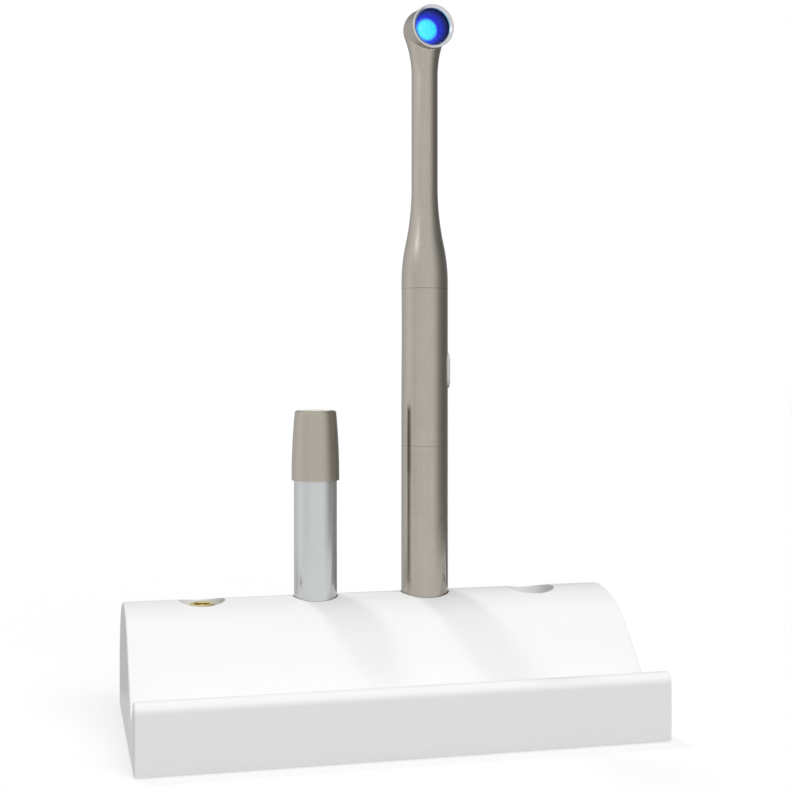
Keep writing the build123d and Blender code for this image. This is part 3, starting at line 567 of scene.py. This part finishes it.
def make_floor():
    """Wide pale floor, white like the background where it is seen, that keeps a light shadow."""
    mesh = bpy.data.meshes.new("floor")
    form = bmesh.new()
    bmesh.ops.create_circle(form, cap_ends=True, radius=FLOOR_RADIUS, segments=FLOOR_EDGES)
    form.to_mesh(mesh)
    form.free()
    floor = add_object("floor", mesh)
    material = node_material("floor")
    tree = material.node_tree
    matt = tree.nodes.new("ShaderNodeBsdfDiffuse")
    matt.inputs["Color"].default_value = shade(FLOOR_TONE)
    bright = tree.nodes.new("ShaderNodeBsdfDiffuse")
    bright.inputs["Color"].default_value = shade(open_floor_tone())
    glow = tree.nodes.new("ShaderNodeEmission")
    glow.inputs["Strength"].default_value = BACKGROUND
    shown = tree.nodes.new("ShaderNodeMixShader")
    shown.inputs[0].default_value = FLOOR_SHADOW
    mix = tree.nodes.new("ShaderNodeMixShader")
    output = tree.nodes.new("ShaderNodeOutputMaterial")
    tree.links.new(glow.outputs[0], shown.inputs[1])
    tree.links.new(bright.outputs[0], shown.inputs[2])
    tree.links.new(seen_directly(tree), mix.inputs[0])
    tree.links.new(matt.outputs[0], mix.inputs[1])
    tree.links.new(shown.outputs[0], mix.inputs[2])
    tree.links.new(mix.outputs[0], output.inputs["Surface"])
    mesh.materials.append(material)


def turned_point(turn, reach, z):
    """A point round the handpiece, at a number of degrees to the right of the camera."""
    toward_camera = CAMERA_PLACE - AXIS
    angle = math.atan2(toward_camera.y, toward_camera.x) + math.radians(turn)
    return Vector((AXIS.x + reach * math.cos(angle), AXIS.y + reach * math.sin(angle), z))


def wall_tone(turn):
    """Tone of the wall in a direction, between the two nearest named ones."""
    for (turn_a, tone_a), (turn_b, tone_b) in zip(WALL_TONES, WALL_TONES[1:]):
        if turn <= turn_b:
            return tone_a + (tone_b - tone_a) * (turn - turn_a) / (turn_b - turn_a)
    return WALL_TONES[-1][1]


def patch_tone(turn, z):
    """What the soft patches add to the wall at a point."""
    return sum(tone * math.exp(-((turn - middle) / wide) ** 2 - ((z - height) / high) ** 2)
               for middle, height, wide, high, tone in WALL_PATCHES)


def strip_tone(turn):
    """Tone of the strip: dark behind the base, paler beside its left end."""
    share = (turn - STRIP_CHANGE[0]) / (STRIP_CHANGE[1] - STRIP_CHANGE[0])
    return STRIP_TONES[0] + (STRIP_TONES[1] - STRIP_TONES[0]) * min(1, max(0, share))


def make_card(name, columns):
    """Glowing surface that only reflections see, from columns of points with a tone each."""
    mesh = bpy.data.meshes.new(name)
    form = bmesh.new()
    tone_layer = form.loops.layers.float_color.new("tone")
    grid = [[(form.verts.new(point), tone) for point, tone in column] for column in columns]
    for left, right in zip(grid, grid[1:]):
        for corners in zip(left, right, right[1:], left[1:]):
            face = form.faces.new([vertex for vertex, tone in corners])
            for loop, (vertex, tone) in zip(face.loops, corners):
                loop[tone_layer] = shade(tone)
    form.to_mesh(mesh)
    form.free()
    card = add_object(name, mesh)
    material = node_material(name)
    tree = material.node_tree
    source = tree.nodes.new("ShaderNodeVertexColor")
    source.layer_name = "tone"
    glow = tree.nodes.new("ShaderNodeEmission")
    output = tree.nodes.new("ShaderNodeOutputMaterial")
    tree.links.new(source.outputs["Color"], glow.inputs["Color"])
    tree.links.new(glow.outputs[0], output.inputs["Surface"])
    mesh.materials.append(material)
    for kind in ("camera", "diffuse", "transmission", "volume_scatter", "shadow"):
        setattr(card, f"visible_{kind}", False)


def shares(start, end, steps):
    """Evenly spaced values from one to another."""
    return [start + (end - start) * step / steps for step in range(steps + 1)]


def make_walls():
    """Round studio wall with a tone for each direction and its soft patches, and the strip on the floor."""
    make_card("studio_walls", [
        [(turned_point(turn, WALL_RADIUS, z), wall_tone(turn) + patch_tone(turn, z))
         for z in shares(WALL_FOOT, WALL_HEIGHT, WALL_ROWS)]
        for turn in shares(-180, 180, WALL_STEPS)])
    make_card("studio_strip", [
        [(turned_point(turn, reach, WALL_FOOT), strip_tone(turn)) for reach in STRIP_RADII]
        for turn in shares(*STRIP_TURNS, STRIP_STEPS)])


def make_ring():
    """Polished ring round the lens, turned from one profile: flat rim, mouth at 45 degrees and spigot."""
    mesh = bpy.data.meshes.new("polished_ring")
    form = bmesh.new()
    up = FORWARD.cross(SIDE)
    loops = []
    for step in range(RING_STEPS):
        angle = 2 * math.pi * step / RING_STEPS
        out = SIDE * math.cos(angle) + up * math.sin(angle)
        loops.append([form.verts.new(HEAD + (out * radius + FORWARD * reach) * MM)
                      for radius, reach in RING_PROFILE])
    for here, there in zip(loops, loops[1:] + loops[:1]):
        for index in range(len(RING_PROFILE)):
            after = (index + 1) % len(RING_PROFILE)
            form.faces.new((here[index], here[after], there[after], there[index])).smooth = True
    bmesh.ops.recalc_face_normals(form, faces=form.faces)
    form.to_mesh(mesh)
    form.free()
    mesh.set_sharp_from_angle(angle=RING_SHARP)
    mesh.materials.append(finishes["bezel_steel"])
    ring = add_object("polished_ring", mesh)
    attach(ring, "head")
    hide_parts("bezel_ring")


def make_springs():
    """Springs under the wells' contacts: a copy of each spring part in plated steel, fixed to the base, in
    place of the part.
    """
    for joint in frame["record"]["behaviour"]["joints"]:
        for row in joint.get("deforming_nodes", ()):
            name = row["node"]
            mesh = nodes[name].data.copy()
            mesh.materials.clear()
            mesh.materials.append(finishes["screw_steel"])
            spring = add_object(f"{name}_coil", mesh)
            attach(spring, "base")
            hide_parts(name)
            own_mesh(spring)


dress_frame()
make_camera()
make_world()
make_lamps()
make_floor()
make_walls()
make_ring()
make_springs()

bpy.context.scene.view_settings.view_transform = "Standard"
